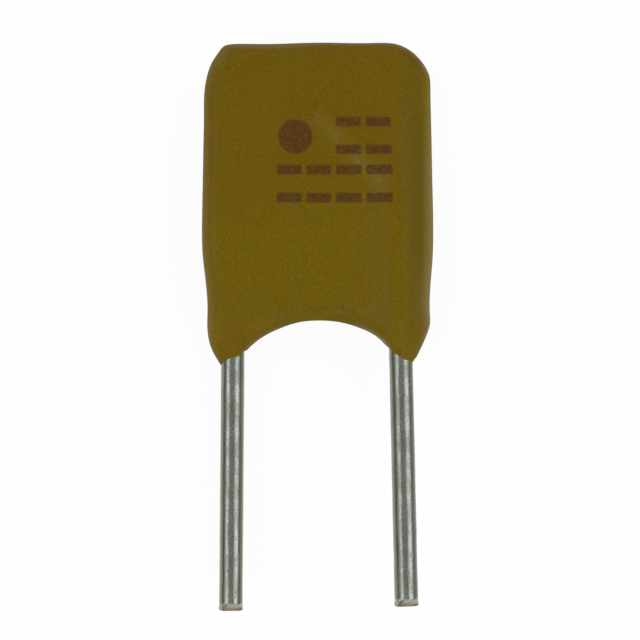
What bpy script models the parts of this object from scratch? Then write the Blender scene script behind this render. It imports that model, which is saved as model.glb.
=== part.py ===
"""Radial-lead resettable fuse.

A polymer chip between two metal foils, a round tinned lead soldered to each foil, and a dipped
epoxy coating over all of it. The fuse lies on its back as it comes to rest: +Y runs from the lead
tips to the top of the coating, +X is to the right, +Z is up.

The pieces are modelled upright in the fuse's own frame, in which z = 0 is the middle plane of the
chip, y = 0 the chip's lower edge and x = 0 midway between the leads. An empty then lays them down.
"""

import math

import bmesh
import bpy
from mathutils import Matrix, Vector

# Chip: a polymer core between two foils
CHIP_WIDTH = 0.0060
CHIP_HEIGHT = 0.0068
CORE_THICKNESS = 0.00035
FOIL_THICKNESS = 0.00005
SEAM = 0.00002  # hairline left between pieces that are bonded face to face

# Leads: the front one is on the right and the rear one on the left
LEAD_DIAMETER = 0.00071
LEAD_PITCH = 0.00495  # where the leads leave the coating
LEAD_LAP = 0.0033  # from the chip's lower edge up to the lead's soldered end
FRONT_LEAD_DROP = 0.00961  # from the chip's lower edge down to the tip
REAR_LEAD_DROP = 0.00982
FRONT_LEAD_SPLAY = math.radians(1.3)
REAR_LEAD_SPLAY = math.radians(0.45)
LEAD_SIDES = 24
SHARP_ANGLE = math.radians(35)

# Pinched tip: the cutter leaves one slanted facet and a blunt land
PINCH_HEIGHT = 0.00022
PINCH_DEPTH = 0.00030
TIP_ROUNDING = 0.00003

# Solder bead between a lead and its foil
SOLDER_FILM = 0.00008  # from the foil to the underside of the lead
SOLDER_WIDTH = 0.0010
SOLDER_INSET = 0.00015  # from the chip's lower edge to the bead
SOLDER_OVERRUN = 0.0003  # past the soldered end of the lead
SOLDER_SLOPE = 0.0003

# Coating thickness over what it wraps
FACE_COAT = 0.00045
TOP_COAT = 0.00063
LEFT_COAT = 0.00039
RIGHT_COAT = 0.00050
BELLY_SWELL = 0.00007  # the sides are this much thicker at the belly
RIDGE_COAT = 0.00030  # over the top of a lead
LEFT_LEG_COAT = 0.00047
RIGHT_LEG_COAT = 0.00062

# Coating outline
CORNER_RADIUS = 0.00137  # the round upper right corner
CORNER_ANGLES = (76, 45, 18)  # where the cage's points lie on it, in degrees from level
BEVEL_REACH = 0.00150  # the upper left corner is bevelled from here up
BEVEL_SHIFT = 0.00017
CORNER_BEVEL = 0.00044
CORNER_DROP = 0.00031
TOP_DROP = 0.00011
TOP_DIP = 0.00002  # the top edge hollows this much in the middle
LEFT_TOP_RUN = 0.00074
BELLY_RISE = 0.0015  # height of the widest place above the chip's lower edge
STEP_REACH = 0.00045  # the sides step in to the legs over this far each way of the chip's edge
WEB_DROP = 0.00100  # from the chip's lower edge down to the crown of the arch
LEFT_ARCH_RISE = 0.00090  # from where the coating ends on the lead's inner side up to the crown
RIGHT_ARCH_RISE = 0.00078
ARCH_OVERLAP = 0.00038  # the arch's ellipse is this much wider, each side, than the gap it spans
ARCH_SHIFT = 0.000085  # the crown stands this far right of the middle
LEFT_LEG_DROP = 0.00132  # from the crown down to where the coating ends on a lead's outer side
RIGHT_LEG_DROP = 0.00124
FACE_LEG_DROP = 0.00106  # the same on its front and back
LEFT_LEG_CURVE = 2.5  # how late a leg's outer side closes in, where 1 is evenly
RIGHT_LEG_CURVE = 1.5
EDGE_ROUND = 0.00022
RIDGE_EDGE_ROUND = 0.00030  # beside the front lead's ridge, on the front
EDGE_FALL = 0.00012  # the faces fall this much towards their edges
RIDGE_HALF_WIDTH = 0.00085
RIDGE_RUN_OUT = 0.0010
TAIL_COAT = 0.000035  # thickness at the coating's end on a lead
TAIL_TUCK = 0.00025
CHANNEL_RUN = 0.0027  # the room cut for a lead goes this far past where the arch meets it
FAR_SIDE_CLOSING = 0.16  # share of the way to the lead already closed at the crown, on its far side
OWN_SIDE_CLOSING = 0.20  # the same on the lead's own side
OWN_SIDE_LEAN = 0.6  # the cover over a lead leans this much to the arch for each unit outwards
SWELL_ROUNDS = 10
EXIT_REACH = 0.00048  # the folds this near a lead's exit are smoothed
EXIT_ROUNDS = 10

# Colours, each with its roughness and metallic value
COATING_FINISH = ((0.145, 0.093, 0.010, 1.0), 0.45, 0.0)
CORE_FINISH = ((0.012, 0.012, 0.013, 1.0), 0.75, 0.0)
FOIL_FINISH = ((0.48, 0.44, 0.38, 1.0), 0.45, 1.0)
SOLDER_FINISH = ((0.45, 0.46, 0.47, 1.0), 0.40, 1.0)
LEAD_FINISH = ((0.55, 0.56, 0.54, 1.0), 0.32, 1.0)

# What follows from the sizes above
LEAD_RADIUS = LEAD_DIAMETER / 2
HALF_PITCH = LEAD_PITCH / 2
HALF_CHIP = CHIP_WIDTH / 2
HALF_STACK = CORE_THICKNESS / 2 + SEAM + FOIL_THICKNESS
LEAD_OFFSET = HALF_STACK + SOLDER_FILM + LEAD_RADIUS  # lead axis from the chip's middle plane
FACE_HEIGHT = HALF_STACK + FACE_COAT
RIDGE_HEIGHT = LEAD_OFFSET + LEAD_RADIUS + RIDGE_COAT
COATING_TOP = CHIP_HEIGHT + TOP_COAT
CROWN = -WEB_DROP
ARCH_HALF_WIDTH = HALF_PITCH - LEAD_RADIUS
ARCH_LONG = ARCH_HALF_WIDTH + ARCH_OVERLAP

# Lines of the coating's cage: columns count from the middle, rows from the top
EDGE_COLUMN = 4
LEAD_COLUMN = 3
ARCH_COLUMN = 2
CROWN_ROW = 9
LAST_ROW = 12
RIDGE_SHARE = {3: 0.25, 4: 0.6, 5: 0.9, 6: 1.0, 7: 1.0, 8: 1.0}  # of the ridge's full height, by row
RIDGE_SPREAD = {1: 0.2, ARCH_COLUMN: 0.6, LEAD_COLUMN: 1.0, EDGE_COLUMN: 0.35}  # the same by column
ARCH_SHARE = {0: 0.0, 1: 0.36, 9: 0.72, 10: 0.90, 11: 0.98, 12: 1.0}  # of the arch's half width
WEB_SHARE = {8: 0.85, 9: 0.5}  # of the face's height, where the web thins towards the arch


def left_or_right(side, left, right):
    return right if side > 0 else left


def arch_end(side):
    """Height at which the coating ends on the inner side of a lead."""
    return CROWN - left_or_right(side, LEFT_ARCH_RISE, RIGHT_ARCH_RISE)


def clear_scene():
    for old in list(bpy.data.objects):
        bpy.data.objects.remove(old, do_unlink=True)


def new_collection(name):
    made = bpy.data.collections.new(name)
    bpy.context.scene.collection.children.link(made)
    return made


def finish_material(name, finish):
    colour, roughness, metallic = finish
    made = bpy.data.materials.new(name)
    made.use_nodes = True
    made.diffuse_color = colour
    shader = made.node_tree.nodes["Principled BSDF"]
    shader.inputs["Base Color"].default_value = colour
    shader.inputs["Roughness"].default_value = roughness
    shader.inputs["Metallic"].default_value = metallic
    return made


def mesh_object(name, bm, collection, finish=None):
    mesh = bpy.data.meshes.new(name)
    bm.to_mesh(mesh)
    bm.free()
    made = bpy.data.objects.new(name, mesh)
    collection.objects.link(made)
    if finish:
        mesh.materials.append(finish_material(name, finish))
    return made


def hide_cutter(cutter):
    cutter.hide_render = True
    cutter.display_type = "WIRE"


def cut(target, cutter):
    change = target.modifiers.new("Cut " + cutter.name, "BOOLEAN")
    change.operation = "DIFFERENCE"
    change.solver = "EXACT"
    change.object = cutter


def box_mesh(width, height, depth):
    bm = bmesh.new()
    bmesh.ops.create_cube(bm, size=1)
    bmesh.ops.scale(bm, vec=(width, height, depth), verts=bm.verts)
    return bm


def chip_layers(parts):
    """The core and its two foils, all cut to the chip's outline."""
    core = mesh_object("ptc_core", box_mesh(CHIP_WIDTH, CHIP_HEIGHT, CORE_THICKNESS), parts, CORE_FINISH)
    core.location = (0, CHIP_HEIGHT / 2, 0)
    foil_centre = HALF_STACK - FOIL_THICKNESS / 2
    layers = [core]
    for name, side in (("front_foil", 1), ("rear_foil", -1)):
        foil = mesh_object(name, box_mesh(CHIP_WIDTH, CHIP_HEIGHT, FOIL_THICKNESS), parts, FOIL_FINISH)
        foil.location = (0, CHIP_HEIGHT / 2, side * foil_centre)
        layers.append(foil)
    return layers


def chip_pocket(cutters):
    bm = box_mesh(CHIP_WIDTH + 2 * SEAM, CHIP_HEIGHT + 2 * SEAM, 2 * HALF_STACK + 2 * SEAM)
    pocket = mesh_object("chip_pocket", bm, cutters)
    pocket.location = (0, CHIP_HEIGHT / 2, 0)
    hide_cutter(pocket)
    return pocket


def wire_mesh(radius, low, high):
    """A round wire along local Z, from low to high."""
    bm = bmesh.new()
    bmesh.ops.create_cone(
        bm, cap_ends=True, segments=LEAD_SIDES, radius1=radius, radius2=radius, depth=high - low
    )
    bmesh.ops.translate(bm, vec=(0, 0, (low + high) / 2), verts=bm.verts)
    return bm


def lay_along_lead(obj, side, splay):
    """Turn local Z up the lead and local Y to the front, and pivot the lead where the coating ends."""
    exit_point = Vector((side * HALF_PITCH, arch_end(side), side * LEAD_OFFSET))
    upright = Matrix.Rotation(math.radians(90), 4, "X") @ Matrix.Rotation(math.radians(180), 4, "Y")
    lean = Matrix.Rotation(side * splay, 4, "Z")
    obj.matrix_world = Matrix.Translation(exit_point) @ lean @ upright


def lead(name, side, drop, splay, parts):
    """A lead's local origin is its exit from the coating."""
    tip = -(drop + arch_end(side))
    bm = wire_mesh(LEAD_RADIUS, tip, LEAD_LAP - arch_end(side))
    slant = Vector((0, PINCH_HEIGHT, -PINCH_DEPTH)).normalized()
    start = Vector((0, LEAD_RADIUS, tip + PINCH_HEIGHT))
    geometry = bm.verts[:] + bm.edges[:] + bm.faces[:]
    cut_edges = bmesh.ops.bisect_plane(bm, geom=geometry, plane_co=start, plane_no=slant, clear_outer=True)
    rim = [e for e in cut_edges["geom_cut"] if isinstance(e, bmesh.types.BMEdge)]
    bmesh.ops.holes_fill(bm, edges=rim)
    bmesh.ops.recalc_face_normals(bm, faces=bm.faces)
    made = mesh_object(name, bm, parts, LEAD_FINISH)
    made.data.shade_smooth()
    made.data.set_sharp_from_angle(angle=SHARP_ANGLE)
    lay_along_lead(made, side, splay)
    rounding = made.modifiers.new("Tip rounding", "BEVEL")
    rounding.width = TIP_ROUNDING
    rounding.segments = 1
    rounding.limit_method = "ANGLE"
    rounding.angle_limit = SHARP_ANGLE
    return made


def lead_channel(name, side, splay, cutters):
    """The room that a lead takes in the coating and in its solder, open below the legs."""
    bm = wire_mesh(LEAD_RADIUS + SEAM, -CHANNEL_RUN, LEAD_LAP - arch_end(side) + SEAM)
    channel = mesh_object(name, bm, cutters)
    lay_along_lead(channel, side, splay)
    hide_cutter(channel)
    return channel


def bead_mesh(side, grow):
    """A bar of solder on the foil, as high as the lead's axis, with its outer edges sloped."""
    foil_face = HALF_STACK + SEAM
    height = LEAD_OFFSET - foil_face
    length = LEAD_LAP + SOLDER_OVERRUN - SOLDER_INSET
    bm = box_mesh(SOLDER_WIDTH + 2 * grow, length + 2 * grow, height + 2 * grow)
    outer = [e for e in bm.edges if all(v.co.z * side > 0 for v in e.verts)]
    bmesh.ops.bevel(bm, geom=outer, offset=SOLDER_SLOPE, segments=1, profile=0.5, affect="EDGES")
    centre = (side * HALF_PITCH, SOLDER_INSET + length / 2, side * (foil_face + height / 2))
    bmesh.ops.translate(bm, vec=centre, verts=bm.verts)
    return bm


def corner_heart(side):
    """The point that an upper corner of the coating is rounded about."""
    shoulder = HALF_CHIP + left_or_right(side, LEFT_COAT, RIGHT_COAT)
    return Vector((side * (shoulder - CORNER_RADIUS), COATING_TOP - CORNER_RADIUS))


def corner_points(side):
    """The coating's outline at an upper corner: the top edge's end, the corner and row 1."""
    heart = corner_heart(side)
    if side > 0:
        turns = [math.radians(angle) for angle in CORNER_ANGLES]
        return [heart + CORNER_RADIUS * Vector((math.cos(turn), math.sin(turn))) for turn in turns]
    edge = -HALF_CHIP - LEFT_COAT
    return [
        Vector((edge + LEFT_TOP_RUN, COATING_TOP - TOP_DROP)),
        Vector((edge + CORNER_BEVEL, COATING_TOP - CORNER_DROP)),
        Vector((edge + BEVEL_SHIFT, COATING_TOP - BEVEL_REACH / 2)),
    ]


def row_height(row):
    """Height of a straight row of the cage, from row 2 down to the crown."""
    shoulder = COATING_TOP - BEVEL_REACH
    ridge_start = LEAD_LAP + RIDGE_RUN_OUT
    heights = {
        2: shoulder,
        3: (shoulder + ridge_start) / 2,
        4: ridge_start,
        5: LEAD_LAP,
        6: BELLY_RISE,
        7: STEP_REACH,
        8: -STEP_REACH,
        9: CROWN,
    }
    return heights[row]


def side_reach(side, row):
    """Distance of the coating's edge from the middle, from row 2 down."""
    shoulder = HALF_CHIP + left_or_right(side, LEFT_COAT, RIGHT_COAT)
    leg = HALF_PITCH + LEAD_RADIUS + left_or_right(side, LEFT_LEG_COAT, RIGHT_LEG_COAT)
    belly = shoulder + BELLY_SWELL
    if row >= 8:
        return leg
    if row == 7:
        return (belly + leg) / 2
    fall = row_height(2) - row_height(row)
    return shoulder + BELLY_SWELL * fall / (row_height(2) - row_height(6))


def column_reach(column):
    """Distance of an inner column from the middle, below the corners."""
    foot = HALF_PITCH - RIDGE_HALF_WIDTH
    return {0: 0.0, 1: foot / 2, ARCH_COLUMN: foot, LEAD_COLUMN: HALF_PITCH}[abs(column)]


def face_height(column, row, front):
    """Distance of the coating's face from the chip's middle plane."""
    height = FACE_HEIGHT
    if abs(column) == EDGE_COLUMN or row == 0:
        height -= EDGE_FALL
    if abs(column) < LEAD_COLUMN:
        height *= WEB_SHARE.get(row, 1.0)
    has_lead = column * front > 0
    if has_lead:
        share = RIDGE_SHARE.get(row, 0.0) * RIDGE_SPREAD.get(abs(column), 0.0)
        height += share * (RIDGE_HEIGHT - FACE_HEIGHT)
    return front * height


def layer_height(column, row, layer):
    if layer:
        return face_height(column, row, layer)
    return (face_height(column, row, 1) + face_height(column, row, -1)) / 2


def arch_point(side, share, inset):
    """A point on the elliptic arch between the legs, or inset from it into the coating."""
    turn = math.asin(share * ARCH_HALF_WIDTH / ARCH_LONG)
    end_turn = math.asin(ARCH_HALF_WIDTH / ARCH_LONG)
    short = (CROWN - arch_end(side)) / (1 - math.cos(end_turn))
    out = Vector((math.sin(turn) / ARCH_LONG, math.cos(turn) / short)).normalized() * inset
    x = side * (ARCH_LONG * math.sin(turn) + out.x) + ARCH_SHIFT * (1 - share ** 4)
    return Vector((x, CROWN - short * (1 - math.cos(turn)) + out.y))


def shoulder_point(column, row, inset):
    """A point of the cage in its two upper rows, where the corners are rounded."""
    side = -1 if column < 0 else 1
    top_end, corner, low_corner = corner_points(side)
    on_corner = {(EDGE_COLUMN, 0): corner, (EDGE_COLUMN, 1): low_corner, (LEAD_COLUMN, 0): top_end}
    point = on_corner.get((abs(column), row))
    if point:
        return point - (point - corner_heart(side)).normalized() * inset
    along = abs(column) / LEAD_COLUMN
    drop = TOP_DIP * (1 - along) + left_or_right(side, TOP_DROP, 0.0) * along
    top = Vector((along * top_end.x, COATING_TOP - drop - inset))
    if row == 0:
        return top
    below = Vector((side * column_reach(column), low_corner.y))
    return Vector(((top.x + below.x) / 2, below.y))


def body_point(column, row, layer):
    """A point of the cage above the legs. Layer 1 is the front, -1 the back and 0 the edge."""
    side = -1 if column < 0 else 1
    inset = EDGE_ROUND if layer else 0.0
    if row < 2:
        flat = shoulder_point(column, row, inset)
    elif abs(column) == EDGE_COLUMN:
        if side > 0 and layer > 0:
            inset = RIDGE_EDGE_ROUND
        flat = Vector((side * (side_reach(side, row) - inset), row_height(row)))
    elif row == CROWN_ROW:
        flat = arch_point(side, ARCH_SHARE[abs(column)], inset)
    else:
        flat = Vector((side * column_reach(column), row_height(row)))
    return Vector((flat.x, flat.y, layer_height(column, row, layer)))


def leg_end(column, layer):
    """The ring on a lead where the coating ends, and its centre inside the lead."""
    side = -1 if column < 0 else 1
    outward = {EDGE_COLUMN: 1, LEAD_COLUMN: 0, ARCH_COLUMN: -1}[abs(column)]
    direction = Vector((side * outward, 0, layer))
    outer_end = CROWN - left_or_right(side, LEFT_LEG_DROP, RIGHT_LEG_DROP)
    face_end = CROWN - FACE_LEG_DROP
    if not direction.length:
        return Vector((side * HALF_PITCH, outer_end - TAIL_TUCK, side * LEAD_OFFSET))
    height = {1: outer_end, 0: face_end, -1: arch_end(side)}[outward]
    if layer and outward:
        height = (height + face_end) / 2
    axis = Vector((side * HALF_PITCH, height, side * LEAD_OFFSET))
    return axis + direction.normalized() * (LEAD_RADIUS + SEAM + TAIL_COAT)


def leg_start(column, row, layer):
    """The body's section carried down a leg."""
    side = -1 if column < 0 else 1
    inset = EDGE_ROUND if layer else 0.0
    if abs(column) == ARCH_COLUMN:
        x, y = arch_point(side, ARCH_SHARE[row], inset)
    else:
        step = (row - CROWN_ROW) / (LAST_ROW - CROWN_ROW)
        reach = side_reach(side, CROWN_ROW) - inset
        x = side * (reach if abs(column) == EDGE_COLUMN else HALF_PITCH)
        y = CROWN + (leg_end(column, layer).y - CROWN) * step
    return Vector((x, y, layer_height(column, CROWN_ROW - 1, layer)))


def leg_point(column, row, layer):
    """A point of the cage on a leg, which closes in from the body's section to a ring on the lead."""
    side = -1 if column < 0 else 1
    step = (row - CROWN_ROW) / (LAST_ROW - CROWN_ROW)
    start, end = leg_start(column, row, layer), leg_end(column, layer)
    turn = math.radians(90) * step
    over_lead = layer == side
    if abs(column) == EDGE_COLUMN:
        closing = step ** left_or_right(side, LEFT_LEG_CURVE, RIGHT_LEG_CURVE)
    elif layer == -side:
        closing = FAR_SIDE_CLOSING + (1 - FAR_SIDE_CLOSING) * step
    else:
        closing = 1 - math.cos(turn)
    if abs(column) != ARCH_COLUMN:
        point = start.lerp(end, closing)
        point.y = start.y
        return point
    if over_lead:
        cover = Vector((-OWN_SIDE_LEAN * side, 0, side)).normalized() * RIDGE_COAT * math.cos(turn)
        return start.lerp(end + cover, OWN_SIDE_CLOSING + (1 - OWN_SIDE_CLOSING) * math.sin(turn))
    if layer:
        point = start.lerp(end, step * step)
        point.z = start.z + (end.z - start.z) * closing
        return point
    start.z += (end.z - start.z) * closing
    return start


def cage_point(column, row, layer):
    if row >= CROWN_ROW and abs(column) >= ARCH_COLUMN:
        return leg_point(column, row, layer)
    return body_point(column, row, layer)


def swell_cage(bm):
    """Push the cage out until its smoothed surface passes through the places its points were given."""
    wanted = {v: v.co.copy() for v in bm.verts}
    for _ in range(SWELL_ROUNDS):
        shift = {}
        for vert in bm.verts:
            count = len(vert.link_edges)
            near = [e.other_vert(vert) for e in vert.link_edges]
            around = {v for f in vert.link_faces for v in f.verts}
            far = around - set(near) - {vert}
            total = vert.co * count ** 2
            total += 4 * sum((v.co for v in near), Vector())
            total += sum((v.co for v in far), Vector())
            smooth = total / (count * (count + 5))
            shift[vert] = wanted[vert] - smooth
        for vert, move in shift.items():
            vert.co += move


def coating_cage():
    """A flat grid with the arch's notch, given a back and a rounded edge, and set to shape."""
    bm = bmesh.new()
    bmesh.ops.create_grid(bm, x_segments=2 * EDGE_COLUMN, y_segments=LAST_ROW, size=1)
    for vert in bm.verts:
        vert.co = (round(vert.co.x * EDGE_COLUMN), round((1 - vert.co.y) * LAST_ROW / 2), 1)
    notch = []
    for face in bm.faces:
        middle = face.calc_center_median()
        if abs(middle.x) < ARCH_COLUMN and middle.y > CROWN_ROW:
            notch.append(face)
    bmesh.ops.delete(bm, geom=notch, context="FACES")
    back = bmesh.ops.extrude_face_region(bm, geom=bm.faces[:])
    back_verts = [v for v in back["geom"] if isinstance(v, bmesh.types.BMVert)]
    bmesh.ops.translate(bm, vec=(0, 0, -2), verts=back_verts)
    walls = [e for e in bm.edges if abs(e.verts[0].co.z - e.verts[1].co.z) > 1]
    bmesh.ops.subdivide_edges(bm, edges=walls, cuts=1, use_grid_fill=True)
    for vert in bm.verts:
        vert.co = cage_point(round(vert.co.x), round(vert.co.y), round(vert.co.z))
    bmesh.ops.recalc_face_normals(bm, faces=bm.faces)
    swell_cage(bm)
    return bm


def mark_exits(obj):
    """A vertex group of the cage's points where the coating meets the inner side of a lead."""
    group = obj.vertex_groups.new(name="lead_exits")
    for side in (-1, 1):
        spot = Vector((side * ARCH_HALF_WIDTH, arch_end(side), side * LEAD_OFFSET))
        near = [v.index for v in obj.data.vertices if (v.co - spot).length < EXIT_REACH]
        group.add(near, 1.0, "REPLACE")
    return group.name


def coating(parts, cutters):
    made = mesh_object("coating", coating_cage(), parts, COATING_FINISH)
    exits = mark_exits(made)
    smooth = made.modifiers.new("Smooth skin", "SUBSURF")
    smooth.levels = 2
    smooth.render_levels = 2
    calm = made.modifiers.new("Calm exits", "SMOOTH")
    calm.vertex_group = exits
    calm.factor = 0.5
    calm.iterations = EXIT_ROUNDS
    for cutter in cutters:
        cut(made, cutter)
    made.data.shade_smooth()
    return made


def world_points(pieces):
    graph = bpy.context.evaluated_depsgraph_get()
    points = []
    for piece in pieces:
        evaluated = piece.evaluated_get(graph)
        points += [evaluated.matrix_world @ v.co for v in evaluated.data.vertices]
    return points


def lower_hull(points):
    """The lower side of the convex hull of points (x, z), from left to right."""
    chain = []
    for x, z in sorted(points):
        while len(chain) > 1:
            (ax, az), (bx, bz) = chain[-2], chain[-1]
            if (bx - ax) * (z - az) - (bz - az) * (x - ax) > 0:
                break
            chain.pop()
        chain.append((x, z))
    return chain


def rest_roll(points):
    """The slope of the two ridges that the fuse settles on when it is laid on its back."""
    chain = lower_hull([(p.x, p.z) for p in points])
    for (ax, az), (bx, bz) in zip(chain, chain[1:]):
        if ax <= 0 < bx:
            return math.atan2(bz - az, bx - ax)
    return 0.0


def lay_down(pieces, cutters):
    """Roll the fuse on to its back ridges, with its base at z = 0 and its box centred on the origin."""
    roll = Matrix.Rotation(rest_roll(world_points(pieces)), 4, "Y")
    points = [roll @ p for p in world_points(pieces)]
    low = Vector(min(p[i] for p in points) for i in range(3))
    high = Vector(max(p[i] for p in points) for i in range(3))
    middle = (low + high) / 2
    pose = bpy.data.objects.new("rest_pose", None)
    bpy.context.scene.collection.objects.link(pose)
    pose.matrix_world = Matrix.Translation((-middle.x, -middle.y, -low.z)) @ roll
    for piece in pieces + cutters:
        piece.parent = pose


def build_fuse():
    clear_scene()
    parts = new_collection("resettable_fuse")
    cutter_shelf = new_collection("cutters")
    pieces = chip_layers(parts)
    cutters = [chip_pocket(cutter_shelf)]
    sides = (
        ("front", 1, FRONT_LEAD_DROP, FRONT_LEAD_SPLAY),
        ("rear", -1, REAR_LEAD_DROP, REAR_LEAD_SPLAY),
    )
    for name, side, drop, splay in sides:
        channel = lead_channel(name + "_channel", side, splay, cutter_shelf)
        bead = mesh_object(name + "_solder", bead_mesh(side, 0.0), parts, SOLDER_FINISH)
        cut(bead, channel)
        bead_pocket = mesh_object(name + "_bead_pocket", bead_mesh(side, SEAM), cutter_shelf)
        hide_cutter(bead_pocket)
        pieces += [bead, lead(name + "_lead", side, drop, splay, parts)]
        cutters += [bead_pocket, channel]
    pieces.append(coating(parts, cutters))
    bpy.context.view_layer.update()
    lay_down(pieces, cutters)


build_fuse()
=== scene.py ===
"""Looks of a radial-lead resettable fuse: dipped epoxy, tinned wire leads and a plain white studio.

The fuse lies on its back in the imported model's frame, in metres: +Y runs from the lead tips to the
top of the coating, +X across it and +Z up. Its coating and leads are shaped in the fuse's own
upright frame, in which z = 0 is the middle plane of the chip, y = 0 the chip's lower edge and
x = 0 midway between the leads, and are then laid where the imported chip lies.
"""

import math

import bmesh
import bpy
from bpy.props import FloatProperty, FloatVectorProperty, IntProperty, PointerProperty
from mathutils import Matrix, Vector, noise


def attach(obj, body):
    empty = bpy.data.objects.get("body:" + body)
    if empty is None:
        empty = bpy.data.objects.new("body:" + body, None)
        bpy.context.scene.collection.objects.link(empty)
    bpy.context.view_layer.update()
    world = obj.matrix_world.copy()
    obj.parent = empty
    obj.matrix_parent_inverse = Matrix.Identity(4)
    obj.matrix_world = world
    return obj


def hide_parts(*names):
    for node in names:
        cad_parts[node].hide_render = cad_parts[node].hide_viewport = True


bl_info = {
    "name": "Resettable fuse dressing",
    "version": (1, 0, 0),
    "blender": (4, 5, 0),
    "location": "3D View > Sidebar > Fuse",
    "description": "Dipped coating, tinned leads and a studio for a resettable fuse",
    "category": "Object",
}

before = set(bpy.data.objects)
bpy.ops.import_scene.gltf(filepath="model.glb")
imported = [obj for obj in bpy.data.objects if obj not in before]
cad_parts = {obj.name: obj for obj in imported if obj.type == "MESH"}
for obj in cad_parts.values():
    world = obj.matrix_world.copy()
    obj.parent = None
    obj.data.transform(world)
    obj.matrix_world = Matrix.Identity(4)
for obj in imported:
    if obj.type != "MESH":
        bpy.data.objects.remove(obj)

MILLIMETRE = 0.001
PHOTO_SIDE = 640  # pixels
PHOTO_SCALE = 33 / MILLIMETRE  # pixels per metre
FUSE_CENTRE_PIXEL = (317.95, 327.1)  # where the middle of the fuse's box shows

# Lines of the coating's cage: columns count from the middle, rows from the top
EDGE_COLUMN = 4
LEAD_COLUMN = 3
ARCH_COLUMN = 2
CROWN_ROW = 9
LAST_ROW = 12
RIDGE_SHARE = {3: 0.25, 4: 0.6, 5: 0.9, 6: 1.0, 7: 1.0, 8: 1.0}  # of the ridge's full height, by row
RIDGE_SPREAD = {1: 0.2, ARCH_COLUMN: 0.6, LEAD_COLUMN: 1.0, EDGE_COLUMN: 0.35}  # the same by column
ARCH_SHARE = {0: 0.0, 1: 0.36, 9: 0.72, 10: 0.90, 11: 0.98, 12: 1.0}  # of the arch's half width
WEB_SHARE = {8: 0.85, 9: 0.5}  # of the face's height, where the web thins towards the arch
CORNER_ANGLES = (76, 45, 18)  # where the cage's points lie on the round corner, in degrees
FAR_SIDE_CLOSING = 0.16  # share of the way to a lead already closed at the crown, on its far side
OWN_SIDE_CLOSING = 0.20  # the same on the lead's own side
OWN_SIDE_LEAN = 0.6  # the cover over a lead leans this much to the arch for each unit outwards
SWELL_ROUNDS = 10

# The dipped skin
CREASE_REACH = 0.35 * MILLIMETRE  # how far round a lead's inner exit the coat's fold is smoothed
CREASE_ROUNDS = 14
FRAY_SPACING = 0.16 * MILLIMETRE
FRAY_NEAR = 0.075 * MILLIMETRE  # the coat's ends move in full as near as this to a wire
FRAY_FAR = 0.225 * MILLIMETRE  # and not at all as far from it as this
RIPPLE_SPACING = 1.6 * MILLIMETRE
RIPPLE_SEED = 3.7

# The wires
WIRE_SIDES = 64
TIP_RINGS = 6
WIRE_RINGS = 180
WIRE_WAVE_SPACING = 0.2 * MILLIMETRE
WIRE_WAVE_STRETCH = 3  # how many times longer the wire's unevenness is along it
PINCH_CORNER_POWER = 6  # a high power keeps the rounding at the pinched end's corners
SHARP_ANGLE = 35  # degrees

# The stamp on the front and the scuff across it, in millimetres in the fuse's upright frame
STAMP_FIRST = (-0.905, 3.11)  # the middle of the lower row's first pair of dashes
STAMP_PITCH = (0.89, 1.45)
STAMP_PAIRS = (4, 2)  # pairs of dashes across and up; the dot takes the place of the upper left ones
STAMP_DASH = (0.75, 0.29)
STAMP_DASH_RISE = 0.42
STAMP_ROUNDING = 0.05
STAMP_DOT = (-0.72, 4.52)
STAMP_DOT_RADIUS = 0.52
SCUFF = ((0.05, 5.00), (1.75, 3.20))

# Patterns of the coat and the wire: the size of their waves in millimetres, and their detail
COAT_CLOUD = (1.8, 3.0)
COAT_GRAIN = (0.045, 2.0)
INK_SPECKLE = (0.09, 1.0)
ORANGE_PEEL = (0.25, 2.0)
TIN_GRAIN = (0.04, 3.0)
TIN_PATCH = (0.35, 2.0)
TIN_CRUMBS = (0.12, 2.0)

# Reliefs: their strength and their depth in millimetres
PEEL_RELIEF = (0.15, 0.02)
TIN_RELIEF = (0.7, 0.008)

GRAIN_GAIN = (1.6, 1.4, 0.0)  # how much each of the coat's colours swings with the grain
GRAIN_BLUE = (0.0, 0.0, 0.05)  # and what it adds, as the ochre holds no blue to swing
EDGE_HIGHLIGHT_SHARE = 0.3  # share of the painted highlight's full strength where the coat turns over the edges
INK_RAGGEDNESS = 0.08  # millimetres
DRAWN_STRETCH = 0.6  # the tin's grain is longer along the wire than across it
SHEAR_RAGGEDNESS = 0.2  # millimetres between low and high in the line where the tin ends
HIDDEN_RELIEF = 0.5  # strength
HIDDEN_SWING = 0.08  # of the hidden pieces' roughness, up and down
FLOOR_GLOW = 0.94  # share of the floor's own white to the camera and the metal

# Fades: where they start and end, in millimetres or by a pattern's level, and how strong they are at each
CLOUD_FADE = (0.35, 0.65, 0.0, 0.3)  # the coat clears a little in patches
DOWNWARD_CLEARING = (4.4, 0.6, 0.0, 0.7)  # and from the top down, so the coat is lighter towards the legs
FLANK_SIDE = (2.30, 2.95)  # where painted shade darkens the right flank of the front lead's ridge
FLANK_RIM = (3.24, 3.04)
FLANK_FOOT = (-1.0, 1.5, 0.4, 1.0)
EDGE_FADE = (0.55, 0.25)  # painted highlight: the coat is painted paler nearer the middle plane than these heights
RIM_FADE = (3.04, 3.36)  # and past these on the ridge's side
LEG_FADE = (-0.7, -1.5)  # painted light: the coat is painted paler down the legs, where they slope away, over these heights
LEG_SIDE = (1.0, -2.0, 0.3, 1.0)  # and more so to the left
SCUFF_STREAK = (0.10, 0.0)  # away from the scuff's middle line
SCUFF_HALO = (0.5, 0.0, 0.0, 0.06)
SCUFF_CLOUD = (0.45, 0.6)
SCUFF_SPECKLE = (0.4, 0.7, 0.0, 0.14)
INK_EDGE = (0.08, 0.0)  # outwards from the stamp's edge
INK_GAPS = (0.3, 0.6, 0.6, 0.95)
TIN_TONE = (0.15, 0.38)
TIN_ROUGHNESS = (0.0, 1.0, 0.34, 0.24)
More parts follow.
